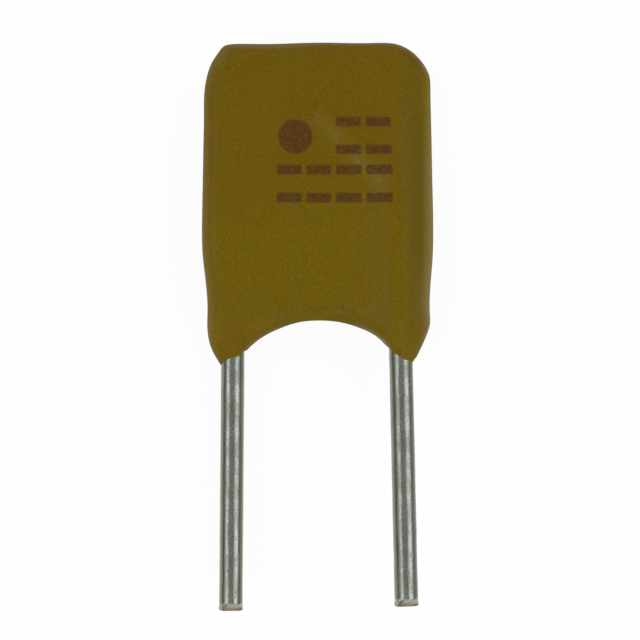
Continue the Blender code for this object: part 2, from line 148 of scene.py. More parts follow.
SIDE_REFLECTION_FADE = (0.72, 0.86)  # painted tint of the floor's reflection where the wire turns away, from the wire's middle line, in shares of its radius
# painted dark reflection in a band along both sides of the wire, in shares of its radius
DARK_REFLECTION_INNER = (0.44, 0.66)
DARK_REFLECTION_OUTER = (0.94, 0.72, 0.3, 1.0)
SMEAR_HEIGHT = (0.27, 0.20)  # above the wire's end
SMEAR_PATCHES = (0.1, 0.3, 0.4, 1.0)
BARE_HEIGHT = (0.02, -0.03)
HIDDEN_TONE = (0.35, 0.65)
HIDDEN_GLOSS = (0.3, 0.7)

# Softboxes: tilt from overhead in degrees, short and long side in metres
SIDE_SOFTBOX = (49, 0.087, 0.24)
END_SOFTBOX = (55, 0.06, 0.20)
TOP_PANEL = (0, 0.12, 0.30)
FLOOR_HALF_WIDTH = 2.0
FLOOR_GAP = 0.01 * MILLIMETRE  # keeps the floor clear of the coat's low waves


def length(name, default, description):
    return FloatProperty(name=name, description=description, default=default, unit="LENGTH", precision=6)


def angle(name, degrees, description):
    return FloatProperty(name=name, description=description, default=math.radians(degrees), subtype="ANGLE")


def share(name, default, description):
    return FloatProperty(name=name, description=description, default=default, min=0.0, max=1.0)


def number(name, default, description):
    return FloatProperty(name=name, description=description, default=default, min=0.0)


def brightness(name, default, description):
    return FloatProperty(name=name, description=description + ", 1 is white", default=default, min=0.0)


def paint(name, default, description):
    return FloatVectorProperty(
        name=name, description=description, default=linear(default), size=4, subtype="COLOR", min=0.0, max=1.0
    )


def linear(hex_colour):
    """Linear red, green, blue and alpha of an sRGB hex colour."""
    parts = [int(hex_colour[i : i + 2], 16) / 255 for i in (1, 3, 5)]
    return (*[c / 12.92 if c <= 0.04045 else ((c + 0.055) / 1.055) ** 2.4 for c in parts], 1.0)


class FuseSizes(bpy.types.PropertyGroup):
    """Sizes of the fuse in its own upright frame"""

    chip_width: length("Chip width", 0.0060, "Width of the chip and its foils")
    chip_height: length("Chip height", 0.0068, "Height of the chip and its foils")
    half_stack: length("Half stack", 0.000245, "From the chip's middle plane to the face of a foil")
    lead_diameter: length("Lead diameter", 0.00071, "Diameter of the tinned wire")
    lead_pitch: length("Lead pitch", 0.00495, "Between the leads' axes where they leave the coating")
    lead_lap: length("Lead lap", 0.0033, "From the chip's lower edge up to a lead's soldered end")
    front_lead_drop: length("Front lead drop", 0.00961, "From the chip's lower edge down to the tip")
    rear_lead_drop: length("Rear lead drop", 0.00982, "From the chip's lower edge down to the tip")
    front_splay: angle("Front splay", 1.3, "How far the front lead leans outwards")
    rear_splay: angle("Rear splay", 0.45, "How far the rear lead leans outwards")
    pinch_height: length("Pinch height", 0.000255, "Height of the facets that pinching leaves at a tip")
    pinch_edge: length("Pinch edge", 0.00010, "Half the thickness left at the very end")
    pinch_arc: share("Pinch arc", 0.3, "How much lower the facets start at the sides")
    pinch_flare: share("Pinch flare", 0.05, "How much the pinched end widens")
    pinch_corner: length("Pinch corner", 0.00005, "Rounding of the end's corners")
    solder_film: length("Solder film", 0.00008, "Between a foil and the underside of its lead")
    face_coat: length("Face coat", 0.00045, "Coating over the foils")
    top_coat: length("Top coat", 0.00063, "Coating over the chip's top edge")
    left_coat: length("Left coat", 0.00039, "Coating over the chip's left edge")
    right_coat: length("Right coat", 0.00050, "Coating over the chip's right edge")
    belly_swell: length("Belly swell", 0.00007, "Extra thickness of the sides at the belly")
    ridge_coat: length("Ridge coat", 0.00030, "Coating over the top of a lead")
    left_leg_coat: length("Left leg coat", 0.00047, "Coating beside the left lead")
    right_leg_coat: length("Right leg coat", 0.00062, "Coating beside the right lead")
    corner_radius: length("Corner radius", 0.00137, "Radius of the upper right corner")
    bevel_reach: length("Bevel reach", 0.00150, "Height of the upper left corner's bevel")
    bevel_shift: length("Bevel shift", 0.00017, "How far that bevel draws in halfway up")
    corner_bevel: length("Corner bevel", 0.00044, "How far it draws in at the corner")
    corner_drop: length("Corner drop", 0.00031, "Drop of the upper left corner below the top")
    top_drop: length("Top drop", 0.00011, "Drop of the top edge's left end")
    top_dip: length("Top dip", 0.00002, "Dip in the middle of the top edge")
    left_top_run: length("Left top run", 0.00074, "From the left side to the top edge's left end")
    belly_rise: length("Belly rise", 0.0015, "Height of the widest place above the chip's lower edge")
    step_reach: length("Step reach", 0.00045, "Reach of the step in to the legs, each way")
    web_drop: length("Web drop", 0.00100, "From the chip's lower edge down to the arch's crown")
    left_arch_rise: length("Left arch rise", 0.00090, "Rise of the arch from the left lead")
    right_arch_rise: length("Right arch rise", 0.00078, "Rise of the arch from the right lead")
    arch_overlap: length("Arch overlap", 0.00038, "How much wider the arch's ellipse is than its gap")
    arch_shift: length("Arch shift", 0.000085, "How far right of the middle the crown stands")
    left_leg_drop: length("Left leg drop", 0.00132, "From the crown to the coating's end, outside")
    right_leg_drop: length("Right leg drop", 0.00124, "From the crown to the coating's end, outside")
    left_leg_curve: number("Left leg curve", 2.5, "How late the left leg's outer side closes in, 1 is evenly")
    right_leg_curve: number("Right leg curve", 1.5, "The same for the right leg")
    face_leg_drop: length("Face leg drop", 0.00106, "From the crown to the coating's end, in front")
    edge_round: length("Edge round", 0.00022, "Rounding of the coating's edges")
    right_edge_round: length("Right edge round", 0.00030, "Rounding beside the front lead's ridge")
    edge_fall: length("Edge fall", 0.00012, "Fall of the faces towards their edges")
    ridge_half_width: length("Ridge half width", 0.00085, "Half width of the ridge over a lead")
    ridge_run_out: length("Ridge run-out", 0.0010, "Length over which the ridge fades at its top")
    tail_coat: length("Tail coat", 0.000035, "Thickness of the coating where it ends on a lead")
    tail_tuck: length("Tail tuck", 0.00025, "How far the closed end is tucked into the lead")


class FuseFinish(bpy.types.PropertyGroup):
    """Colours and finishes of the fuse"""

    epoxy: paint("Epoxy", "#6c5900", "Cured ochre epoxy")
    epoxy_shade: paint("Epoxy shade", "#695200", "Its deeper tone, in patches and towards the top")
    epoxy_roughness: share("Epoxy roughness", 0.38, "Roughness of the satin coat")
    edge_roughness: share("Edge roughness", 0.6, "Roughness of the edges and beside the front lead's ridge")
    epoxy_gloss: share("Epoxy gloss", 0.08, "Strength of the coat's mirror reflection")
    # Painted shade on the slope beside the front lead's ridge
    epoxy_flank_shade: paint("Epoxy flank", "#655200", "Painted shade on the slope beside the front lead's ridge")
    # Painted highlight where the coat turns over the chip's edges
    epoxy_rim_highlight: paint("Epoxy edge", "#73610a", "Painted highlight where the coat turns over the chip's edges")
    # Painted light low on the legs, which slope away
    epoxy_leg_light: paint("Epoxy leg light", "#735c00", "Painted light low on the legs, which slope away")
    ink: paint("Ink", "#503316", "Stamped reddish-brown ink")
    scuff: paint("Scuff", "#a59a74", "Pale mark where something rubbed the coat")
    tin: paint("Tin", "#a5aaa3", "Dull tin plating")
    tin_smear: paint("Smeared tin", "#adaf9f", "Plating smeared over the pinched ends")
    tin_shade: paint("Tin shade", "#878a82", "Oxidised patches of the plating")
    # Painted yellow tint of the floor's reflection where the wire turns away
    tin_side_reflection: paint("Tin edge", "#989d89", "Painted yellow tint of the floor's reflection where the wire turns away")
    # Painted dark reflection along both sides of the wire
    tin_dark_reflection: paint("Tin line", "#6c6b5e", "Painted dark reflection along both sides of the wire")
    copper: paint("Copper", "#9c8e79", "Sheared copper at the lead tips")
    skin_levels: IntProperty(
        name="Skin levels", description="Subdivisions of the coating", default=3, min=1, max=4
    )
    dip_wave: length("Dip wave", 0.000010, "Height of the long waves that dipping leaves")
    fray: length("Fray", 0.00005, "Unevenness of the coat's ends on the wires")
    tin_wave: length("Tin wave", 0.000005, "Unevenness of the plated wire")


class FuseStudio(bpy.types.PropertyGroup):
    """Camera and light"""

    camera_height: length("Camera height", 0.076, "Height of the camera above the floor")
    scale_height: length("Scale height", 0.001, "Height at which the photo's scale holds")
    softbox_distance: length("Softbox distance", 0.12, "From the fuse to each softbox")
    side_light: brightness("Side light", 1.6, "The long softboxes to the left and right")
    end_light: brightness("End light", 1.1, "The softboxes beyond the head and the lead tips")
    top_light: brightness("Top light", 0.31, "The panel overhead")
    room_light: brightness("Room light", 0.12, "The dim room around")


def add_node(tree, kind, inputs=(), **settings):
    """Adds a node, sets its settings and fills its inputs, in order or by name, with values or links."""
    node = tree.nodes.new(kind)
    for name, value in settings.items():
        setattr(node, name, value)
    by_key = inputs if isinstance(inputs, dict) else dict(enumerate(inputs))
    for key, value in by_key.items():
        if isinstance(value, bpy.types.Node):
            value = next(output for output in value.outputs if output.enabled)
        if isinstance(value, bpy.types.NodeSocket):
            tree.links.new(value, node.inputs[key])
        else:
            node.inputs[key].default_value = value
    return node


def chain(tree, kind, value, *steps):
    """Carries a value through steps of arithmetic, each its operation and what else goes into it."""
    for operation, *others in steps:
        value = add_node(tree, kind, [value, *others], operation=operation)
    return value


def faded(tree, *fades):
    """How strong an effect is: fades carry values smoothly from one range to another, and multiply."""
    first, *others = [
        add_node(tree, "ShaderNodeMapRange", fade, interpolation_type="SMOOTHSTEP") for fade in fades
    ]
    return chain(tree, "ShaderNodeMath", first, *(("MULTIPLY", other) for other in others))


def painted(tree, under, *layers):
    """A colour under other colours, each given with how much of it shows."""
    for amount, over in layers:
        colours = {"Factor": amount, "A": under, "B": tuple(over)}
        under = add_node(tree, "ShaderNodeMix", colours, data_type="RGBA")
    return under


def new_material(name):
    """A material with no nodes yet, and its node tree."""
    made = bpy.data.materials.new(name)
    made.use_nodes = True
    made.node_tree.nodes.clear()
    return made, made.node_tree


def finish_surface(tree, relief, strength, depth, inputs):
    """Gives a surface its shader, with a relief whose depth is in millimetres."""
    height = {"Height": relief, "Strength": strength, "Distance": depth * MILLIMETRE}
    bump = add_node(tree, "ShaderNodeBump", height)
    shader = add_node(tree, "ShaderNodeBsdfPrincipled", {**inputs, "Normal": bump})
    add_node(tree, "ShaderNodeOutputMaterial", {"Surface": shader})


def fuse_pose(sizes):
    """From the fuse's upright frame to the frame that it lies in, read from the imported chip."""
    corners = {v.co.to_tuple(7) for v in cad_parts["ptc_core"].data.vertices}
    by_x = [Vector(c) for c in sorted(corners)]
    half = len(by_x) // 2
    left = sum(by_x[:half], Vector()) / half
    right = sum(by_x[half:], Vector()) / half
    across = right - left
    roll = math.atan2(-across.z, across.x)
    middle = Matrix.Translation((left + right) / 2)
    return middle @ Matrix.Rotation(roll, 4, "Y") @ Matrix.Translation((0, -sizes.chip_height / 2, 0))


def side_of(x):
    return -1 if x < 0 else 1


class CoatingForm:
    """Where the points of the coating's cage lie. Layer 1 is the front, -1 the back and 0 the edge."""

    def __init__(self, sizes):
        self.s = sizes
        self.lead_radius = sizes.lead_diameter / 2
        self.half_pitch = sizes.lead_pitch / 2
        self.lead_offset = sizes.half_stack + sizes.solder_film + self.lead_radius
        self.face = sizes.half_stack + sizes.face_coat
        self.ridge = self.lead_offset + self.lead_radius + sizes.ridge_coat
        self.top = sizes.chip_height + sizes.top_coat
        self.crown = -sizes.web_drop
        self.arch_half_width = self.half_pitch - self.lead_radius
        self.arch_long = self.arch_half_width + sizes.arch_overlap

    def rounding(self, side, layer):
        """How far a face's border lies in from the edge."""
        if layer == 0:
            return 0.0
        return self.s.right_edge_round if side > 0 and layer > 0 else self.s.edge_round

    def shoulder(self, side):
        coat = self.s.right_coat if side > 0 else self.s.left_coat
        return self.s.chip_width / 2 + coat

    def arch_end(self, side):
        """Height at which the coating ends on the inner side of a lead."""
        return self.crown - (self.s.right_arch_rise if side > 0 else self.s.left_arch_rise)

    def outer_end(self, side):
        """Height at which the coating ends on the outer side of a lead."""
        return self.crown - (self.s.right_leg_drop if side > 0 else self.s.left_leg_drop)

    def corner_heart(self, side):
        """The point that an upper corner of the coating is rounded about."""
        radius = self.s.corner_radius
        return Vector((side * (self.shoulder(side) - radius), self.top - radius))

    def corner_points(self, side):
        """The coating's outline at an upper corner: the top edge's end, the corner and row 1."""
        if side > 0:
            turns = [math.radians(angle) for angle in CORNER_ANGLES]
            spokes = [Vector((math.cos(turn), math.sin(turn))) for turn in turns]
            return [self.corner_heart(side) + self.s.corner_radius * spoke for spoke in spokes]
        edge = -self.shoulder(side)
        return [
            Vector((edge + self.s.left_top_run, self.top - self.s.top_drop)),
            Vector((edge + self.s.corner_bevel, self.top - self.s.corner_drop)),
            Vector((edge + self.s.bevel_shift, self.top - self.s.bevel_reach / 2)),
        ]

    def row_height(self, row):
        """Height of a straight row of the cage, from row 2 down to the crown."""
        shoulder = self.top - self.s.bevel_reach
        ridge_start = self.s.lead_lap + self.s.ridge_run_out
        heights = {
            2: shoulder,
            3: (shoulder + ridge_start) / 2,
            4: ridge_start,
            5: self.s.lead_lap,
            6: self.s.belly_rise,
            7: self.s.step_reach,
            8: -self.s.step_reach,
            9: self.crown,
        }
        return heights[row]

    def side_reach(self, side, row):
        """Distance of the coating's edge from the middle, from row 2 down."""
        leg_coat = self.s.right_leg_coat if side > 0 else self.s.left_leg_coat
        leg = self.half_pitch + self.lead_radius + leg_coat
        belly = self.shoulder(side) + self.s.belly_swell
        if row >= 8:
            return leg
        if row == 7:
            return (belly + leg) / 2
        fall = self.row_height(2) - self.row_height(row)
        return self.shoulder(side) + self.s.belly_swell * fall / (self.row_height(2) - self.row_height(6))

    def column_reach(self, column):
        """Distance of an inner column from the middle, below the corners."""
        foot = self.half_pitch - self.s.ridge_half_width
        return {0: 0.0, 1: foot / 2, ARCH_COLUMN: foot, LEAD_COLUMN: self.half_pitch}[abs(column)]

    def face_height(self, column, row, front):
        """Distance of the coating's face from the chip's middle plane."""
        height = self.face
        if abs(column) == EDGE_COLUMN or row == 0:
            height -= self.s.edge_fall
        if abs(column) < LEAD_COLUMN:
            height *= WEB_SHARE.get(row, 1.0)
        has_lead = column * front > 0
        if has_lead:
            rise = RIDGE_SHARE.get(row, 0.0) * RIDGE_SPREAD.get(abs(column), 0.0)
            height += rise * (self.ridge - self.face)
        return front * height

    def layer_height(self, column, row, layer):
        if layer:
            return self.face_height(column, row, layer)
        return (self.face_height(column, row, 1) + self.face_height(column, row, -1)) / 2

    def arch_point(self, side, step, inset):
        """A point on the elliptic arch between the legs, or inset from it into the coating."""
        turn = math.asin(step * self.arch_half_width / self.arch_long)
        end_turn = math.asin(self.arch_half_width / self.arch_long)
        short = (self.crown - self.arch_end(side)) / (1 - math.cos(end_turn))
        out = Vector((math.sin(turn) / self.arch_long, math.cos(turn) / short)).normalized() * inset
        shift = self.s.arch_shift * (1 - step ** 4)
        x = side * (self.arch_long * math.sin(turn) + out.x) + shift
        return Vector((x, self.crown - short * (1 - math.cos(turn)) + out.y))

    def shoulder_point(self, column, row, inset):
        """A point of the cage in its two upper rows, where the corners are rounded."""
        side = side_of(column)
        top_end, corner, low_corner = self.corner_points(side)
        on_corner = {(EDGE_COLUMN, 0): corner, (EDGE_COLUMN, 1): low_corner, (LEAD_COLUMN, 0): top_end}
        point = on_corner.get((abs(column), row))
        if point:
            return point - (point - self.corner_heart(side)).normalized() * inset
        along = abs(column) / LEAD_COLUMN
        end_drop = self.s.top_drop if side < 0 else 0.0
        drop = self.s.top_dip * (1 - along) + end_drop * along
        top = Vector((along * top_end.x, self.top - drop - inset))
        if row == 0:
            return top
        below = Vector((side * self.column_reach(column), low_corner.y))
        return Vector(((top.x + below.x) / 2, below.y))

    def body_point(self, column, row, layer):
        """A point of the cage above the legs."""
        side = side_of(column)
        inset = self.s.edge_round if layer else 0.0
        if row < 2:
            flat = self.shoulder_point(column, row, inset)
        elif abs(column) == EDGE_COLUMN:
            reach = self.side_reach(side, row) - self.rounding(side, layer)
            flat = Vector((side * reach, self.row_height(row)))
        elif row == CROWN_ROW:
            flat = self.arch_point(side, ARCH_SHARE[abs(column)], inset)
        else:
            flat = Vector((side * self.column_reach(column), self.row_height(row)))
        return Vector((flat.x, flat.y, self.layer_height(column, row, layer)))

    def leg_end(self, column, layer):
        """The ring on a lead where the coating ends, and its centre inside the lead."""
        side = side_of(column)
        outward = {EDGE_COLUMN: 1, LEAD_COLUMN: 0, ARCH_COLUMN: -1}[abs(column)]
        direction = Vector((side * outward, 0, layer))
        face_end = self.crown - self.s.face_leg_drop
        if not direction.length:
            tuck = self.outer_end(side) - self.s.tail_tuck
            return Vector((side * self.half_pitch, tuck, side * self.lead_offset))
        height = {1: self.outer_end(side), 0: face_end, -1: self.arch_end(side)}[outward]
        if layer and outward:
            height = (height + face_end) / 2
        axis = Vector((side * self.half_pitch, height, side * self.lead_offset))
        return axis + direction.normalized() * (self.lead_radius + self.s.tail_coat)

    def leg_start(self, column, row, layer):
        """The body's section carried down a leg."""
        side = side_of(column)
        inset = self.s.edge_round if layer else 0.0
        if abs(column) == ARCH_COLUMN:
            x, y = self.arch_point(side, ARCH_SHARE[row], inset)
        else:
            step = (row - CROWN_ROW) / (LAST_ROW - CROWN_ROW)
            reach = self.side_reach(side, CROWN_ROW) - inset
            x = side * (reach if abs(column) == EDGE_COLUMN else self.half_pitch)
            y = self.crown + (self.leg_end(column, layer).y - self.crown) * step
        return Vector((x, y, self.layer_height(column, CROWN_ROW - 1, layer)))

    def leg_point(self, column, row, layer):
        """A point on a leg, which closes in from the body's section to a ring on the lead."""
        side = side_of(column)
        step = (row - CROWN_ROW) / (LAST_ROW - CROWN_ROW)
        start, end = self.leg_start(column, row, layer), self.leg_end(column, layer)
        turn = math.radians(90) * step
        closing = 1 - math.cos(turn)
        if abs(column) == EDGE_COLUMN:
            closing = step ** (self.s.right_leg_curve if side > 0 else self.s.left_leg_curve)
        elif layer == -side:
            closing = FAR_SIDE_CLOSING + (1 - FAR_SIDE_CLOSING) * step
        if abs(column) != ARCH_COLUMN:
            point = start.lerp(end, closing)
            point.y = start.y
            return point
        if layer == side:
            lean = Vector((-OWN_SIDE_LEAN * side, 0, side)).normalized()
            cover = lean * self.s.ridge_coat * math.cos(turn)
            return start.lerp(end + cover, OWN_SIDE_CLOSING + (1 - OWN_SIDE_CLOSING) * math.sin(turn))
        point = start.lerp(end, step * step) if layer else start
        point.z = start.z + (end.z - start.z) * closing
        return point

    def cage_point(self, column, row, layer):
        if row >= CROWN_ROW and abs(column) >= ARCH_COLUMN:
            return self.leg_point(column, row, layer)
        return self.body_point(column, row, layer)


def swell_cage(bm):
    """Push the cage out until its smoothed surface passes through the places its points were given."""
    wanted = {v: v.co.copy() for v in bm.verts}
    for _ in range(SWELL_ROUNDS):
        shift = {}
        for vert in bm.verts:
            count = len(vert.link_edges)
            near = [e.other_vert(vert) for e in vert.link_edges]
            around = {v for f in vert.link_faces for v in f.verts}
            far = around - set(near) - {vert}
            total = vert.co * count ** 2
            total += 4 * sum((v.co for v in near), Vector())
            total += sum((v.co for v in far), Vector())
            shift[vert] = wanted[vert] - total / (count * (count + 5))
        for vert, move in shift.items():
            vert.co += move


def coating_cage(form):
    """A flat grid with the arch's notch, given a back and a rounded edge, and set to shape."""
    bm = bmesh.new()
    bmesh.ops.create_grid(bm, x_segments=2 * EDGE_COLUMN, y_segments=LAST_ROW, size=1)
    for vert in bm.verts:
        vert.co = (round(vert.co.x * EDGE_COLUMN), round((1 - vert.co.y) * LAST_ROW / 2), 1)
    notch = []
    for face in bm.faces:
        middle = face.calc_center_median()
        if abs(middle.x) < ARCH_COLUMN and middle.y > CROWN_ROW:
            notch.append(face)
    bmesh.ops.delete(bm, geom=notch, context="FACES")
    back = bmesh.ops.extrude_face_region(bm, geom=bm.faces[:])
    back_verts = [v for v in back["geom"] if isinstance(v, bmesh.types.BMVert)]
    bmesh.ops.translate(bm, vec=(0, 0, -2), verts=back_verts)
    walls = [e for e in bm.edges if abs(e.verts[0].co.z - e.verts[1].co.z) > 1]
    bmesh.ops.subdivide_edges(bm, edges=walls, cuts=1, use_grid_fill=True)
    for vert in bm.verts:
        vert.co = form.cage_point(round(vert.co.x), round(vert.co.y), round(vert.co.z))
    bmesh.ops.recalc_face_normals(bm, faces=bm.faces)
    swell_cage(bm)
    return bm


def subdivide(obj, levels):
    skin = obj.modifiers.new("Smooth skin", "SUBSURF")
    skin.levels = levels
    skin.render_levels = levels


def piece_from(name, bm):
    """An object made of a finished bmesh, in the scene, shaded smooth."""
    mesh = bpy.data.meshes.new(name)
    bm.to_mesh(mesh)
    bm.free()
    mesh.shade_smooth()
    made = bpy.data.objects.new(name, mesh)
    bpy.context.scene.collection.objects.link(made)
    return made


def apply_modifiers(obj):
    """Replaces an object's mesh by what its modifiers make of it."""
    bpy.context.view_layer.update()
    graph = bpy.context.evaluated_depsgraph_get()
    mesh = bpy.data.meshes.new_from_object(obj.evaluated_get(graph))
    obj.modifiers.clear()
    obj.data = mesh


def wave(point, spacing, seed):
    """Smooth noise from -1 to 1 whose waves are about that far apart."""
    return noise.noise(point / spacing + Vector((seed, seed, seed)))


def ripple_skin(mesh, height):
    """Moves the skin in and out by the long low waves that a dipped coat sets in."""
    moves = [v.normal * height * wave(v.co, RIPPLE_SPACING, RIPPLE_SEED) for v in mesh.vertices]
    for vert, move in zip(mesh.vertices, moves):
        vert.co += move


def calm_crease(bm, spot):
    """Smooths the skin near a spot where the coat folds in against a wire."""
    near = [v for v in bm.verts if (v.co - spot).length < CREASE_REACH]
    for _ in range(CREASE_ROUNDS):
        bmesh.ops.smooth_vert(bm, verts=near, factor=0.5, use_axis_x=True, use_axis_y=True, use_axis_z=True)


def smooth_creases(mesh, form):
    """Calms the folds of the coat at the inner side of both leads' exits."""
    bm = bmesh.new()
    bm.from_mesh(mesh)
    for side in (-1, 1):
        inner = side * (form.half_pitch - form.lead_radius)
        spot = Vector((inner, form.arch_end(side), side * form.lead_offset))
        calm_crease(bm, spot)
    bm.to_mesh(mesh)
    bm.free()


def fray_ends(mesh, form, reach):
    """Moves the coat's ends up and down the wires a little, as the run of the epoxy stops unevenly."""
    for vert in mesh.vertices:
        side = side_of(vert.co.x)
        off_axis = Vector((vert.co.x - side * form.half_pitch, vert.co.z - side * form.lead_offset)).length
        gap = off_axis - form.lead_radius
        closeness = (FRAY_FAR - gap) / (FRAY_FAR - FRAY_NEAR)
        if vert.co.y < form.crown and closeness > 0:
            vert.co.y += reach * min(closeness, 1.0) * wave(vert.co, FRAY_SPACING, side)


class FUSE_OT_coating(bpy.types.Operator):
    """Dipped epoxy coating with its ridges, arch, legs and stamped ink"""

    bl_idname = "fuse.coating"
    bl_label = "Dipped coating"

    def execute(self, context):
        sizes, finish = context.scene.fuse_sizes, context.scene.fuse_finish
        form = CoatingForm(sizes)
        coating = piece_from("dipped_coating", coating_cage(form))
        subdivide(coating, finish.skin_levels)
        apply_modifiers(coating)
        smooth_creases(coating.data, form)
        fray_ends(coating.data, form, finish.fray)
        ripple_skin(coating.data, finish.dip_wave)
        coating.data.transform(fuse_pose(sizes))
        subdivide(coating, 1)
        coating.data.materials.append(epoxy_material(sizes, finish))
        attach(coating, "root")
        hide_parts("coating")
        return {"FINISHED"}


def fuse_coordinates(tree, sizes):
    """Millimetres in the fuse's upright frame."""
    back = fuse_pose(sizes).inverted()
    mapping = {
        "Vector": add_node(tree, "ShaderNodeTexCoord").outputs["Object"],
        "Location": back.to_translation() / MILLIMETRE,
        "Rotation": back.to_euler(),
        "Scale": Vector((1, 1, 1)) / MILLIMETRE,
    }
    return add_node(tree, "ShaderNodeMapping", mapping)


def stamp_edge(tree, flat, x, y):
    """Millimetres from the edge of the stamp, negative on its ink: a dot and two rows of dash pairs."""
    half_pitch = [pitch / 2 for pitch in STAMP_PITCH]
    straight = [extent / 2 - STAMP_ROUNDING for extent in STAMP_DASH]
    from_dash = chain(
        tree,
        "ShaderNodeVectorMath",
        flat,
        ("SUBTRACT", (*STAMP_FIRST, 0)),
        ("WRAP", (*half_pitch, 1), (-half_pitch[0], -half_pitch[1], -1)),
        ("ABSOLUTE",),
        ("SUBTRACT", (0, STAMP_DASH_RISE, 0)),
        ("ABSOLUTE",),
        ("SUBTRACT", (*straight, 0)),
        ("MAXIMUM", (0, 0, 0)),
        ("LENGTH",),
    )
    half_size = [pairs * half for pairs, half in zip(STAMP_PAIRS, half_pitch)]
    middle = [first + size - half for first, size, half in zip(STAMP_FIRST, half_size, half_pitch)]
    outside = chain(
        tree,
        "ShaderNodeVectorMath",
        flat,
        ("SUBTRACT", (*middle, 0)),
        ("ABSOLUTE",),
        ("SUBTRACT", (*half_size, 0)),
    )
    outside = add_node(tree, "ShaderNodeSeparateXYZ", [outside]).outputs
    left_of = add_node(tree, "ShaderNodeMath", [middle[0], x], operation="SUBTRACT")
    above = add_node(tree, "ShaderNodeMath", [y, middle[1]], operation="SUBTRACT")
    upper_left = add_node(tree, "ShaderNodeMath", [left_of, above], operation="MINIMUM")
    from_dot = add_node(tree, "ShaderNodeVectorMath", [flat, (*STAMP_DOT, 0)], operation="DISTANCE")
    dot = add_node(tree, "ShaderNodeMath", [from_dot, STAMP_DOT_RADIUS], operation="SUBTRACT")
    return chain(
        tree,
        "ShaderNodeMath",
        from_dash,
        ("SUBTRACT", STAMP_ROUNDING),
        ("MAXIMUM", outside[0]),
        ("MAXIMUM", outside[1]),
        ("MAXIMUM", upper_left),
        ("MINIMUM", dot),
    )


def scuff_distance(tree, flat):
    """Millimetres from the scuff's straight middle line."""
    start, end = [Vector((*point, 0)) for point in SCUFF]
    run = end - start
    offset = add_node(tree, "ShaderNodeVectorMath", [flat, start], operation="SUBTRACT")
    per_length = run / run.length_squared
    along = add_node(tree, "ShaderNodeVectorMath", [offset, per_length], operation="DOT_PRODUCT")
    along = add_node(tree, "ShaderNodeClamp", [along])
    nearest = add_node(tree, "ShaderNodeVectorMath", {0: run, "Scale": along}, operation="SCALE")
    return add_node(tree, "ShaderNodeVectorMath", [offset, nearest], operation="DISTANCE")


def with_grain(tree, colour, grain):
    """The colour with each of its channels swung up and down by a coloured grain."""
    swing = add_node(tree, "ShaderNodeVectorMath", [grain, (0.5, 0.5, 0.5)], operation="SUBTRACT")
    added = add_node(tree, "ShaderNodeVectorMath", [swing, GRAIN_BLUE], operation="MULTIPLY")
    gain = chain(tree, "ShaderNodeVectorMath", swing, ("MULTIPLY", GRAIN_GAIN), ("ADD", (1, 1, 1)))
    return chain(
        tree, "ShaderNodeVectorMath", colour, ("MULTIPLY", gain), ("ADD", added), ("MAXIMUM", (0, 0, 0))
    )


def epoxy_material(sizes, finish):
    """Epoxy powder fused on to the hot part: opaque satin ochre with a fine grain and a soft orange peel.

    A reddish-brown ink is stamped on its front, speckled where it didn't take on the grain.
    """
    made, tree = new_material("fused epoxy powder coat")
    place = fuse_coordinates(tree, sizes)
    x, y, z = add_node(tree, "ShaderNodeSeparateXYZ", [place]).outputs
    flat = add_node(tree, "ShaderNodeCombineXYZ", [x, y])
    cloud, grain, speckle, peel = [
        add_node(tree, "ShaderNodeTexNoise", {"Vector": place, "Scale": 1 / size, "Detail": detail})
        for size, detail in (COAT_CLOUD, COAT_GRAIN, INK_SPECKLE, ORANGE_PEEL)
    ]
    patches = faded(tree, (cloud, *CLOUD_FADE))
    cleared = faded(tree, (y, *DOWNWARD_CLEARING))
    tone = add_node(tree, "ShaderNodeMath", [patches, cleared], operation="ADD")
    # Painted shade on the right flank of the front lead's ridge, which is also made rougher there
    flank = faded(tree, (x, *FLANK_SIDE), (x, *FLANK_RIM), (y, *FLANK_FOOT))
    height = add_node(tree, "ShaderNodeMath", [z], operation="ABSOLUTE")
    # Painted highlight where the coat turns over its edges and along the ridge's right rim; the turned edges
    # are also made rougher
    turned = faded(tree, (height, *EDGE_FADE))
    rim = faded(tree, (x, *RIM_FADE))
    painted_rim_highlight = chain(tree, "ShaderNodeMath", turned, ("MULTIPLY", EDGE_HIGHLIGHT_SHARE), ("MAXIMUM", rim))
    # Painted light low on the legs, where they slope away, more so on the left
    painted_leg_light = faded(tree, (y, *LEG_FADE), (x, *LEG_SIDE))
    away = scuff_distance(tree, flat)
    streak = faded(tree, (away, *SCUFF_STREAK), (cloud, *SCUFF_CLOUD), (speckle, *SCUFF_SPECKLE))
    rubbed = add_node(tree, "ShaderNodeMath", [streak, faded(tree, (away, *SCUFF_HALO))], operation="ADD")
    ragged = chain(
        tree, "ShaderNodeMath", speckle, ("MULTIPLY", INK_RAGGEDNESS), ("ADD", stamp_edge(tree, flat, x, y))
    )
    stamped = faded(tree, (ragged, *INK_EDGE), (speckle, *INK_GAPS))
    in_front = add_node(tree, "ShaderNodeMath", [z, 0.0], operation="GREATER_THAN")
    inked = add_node(tree, "ShaderNodeMath", [stamped, in_front], operation="MULTIPLY")
    colour = painted(
        tree,
        tuple(finish.epoxy_shade),
        (tone, finish.epoxy),
        (flank, finish.epoxy_flank_shade),
        (painted_rim_highlight, finish.epoxy_rim_highlight),
        (painted_leg_light, finish.epoxy_leg_light),
        (rubbed, finish.scuff),
        (inked, finish.ink),
    )
    rougher = add_node(tree, "ShaderNodeMath", [flank, turned], operation="MAXIMUM")
    roughness = faded(tree, (rougher, 0.0, 1.0, finish.epoxy_roughness, finish.edge_roughness))
    look = {
        "Base Color": with_grain(tree, colour, grain.outputs["Color"]),
        "Roughness": roughness,
        "Specular IOR Level": finish.epoxy_gloss,
    }
    finish_surface(tree, peel, *PEEL_RELIEF, look)
    return made


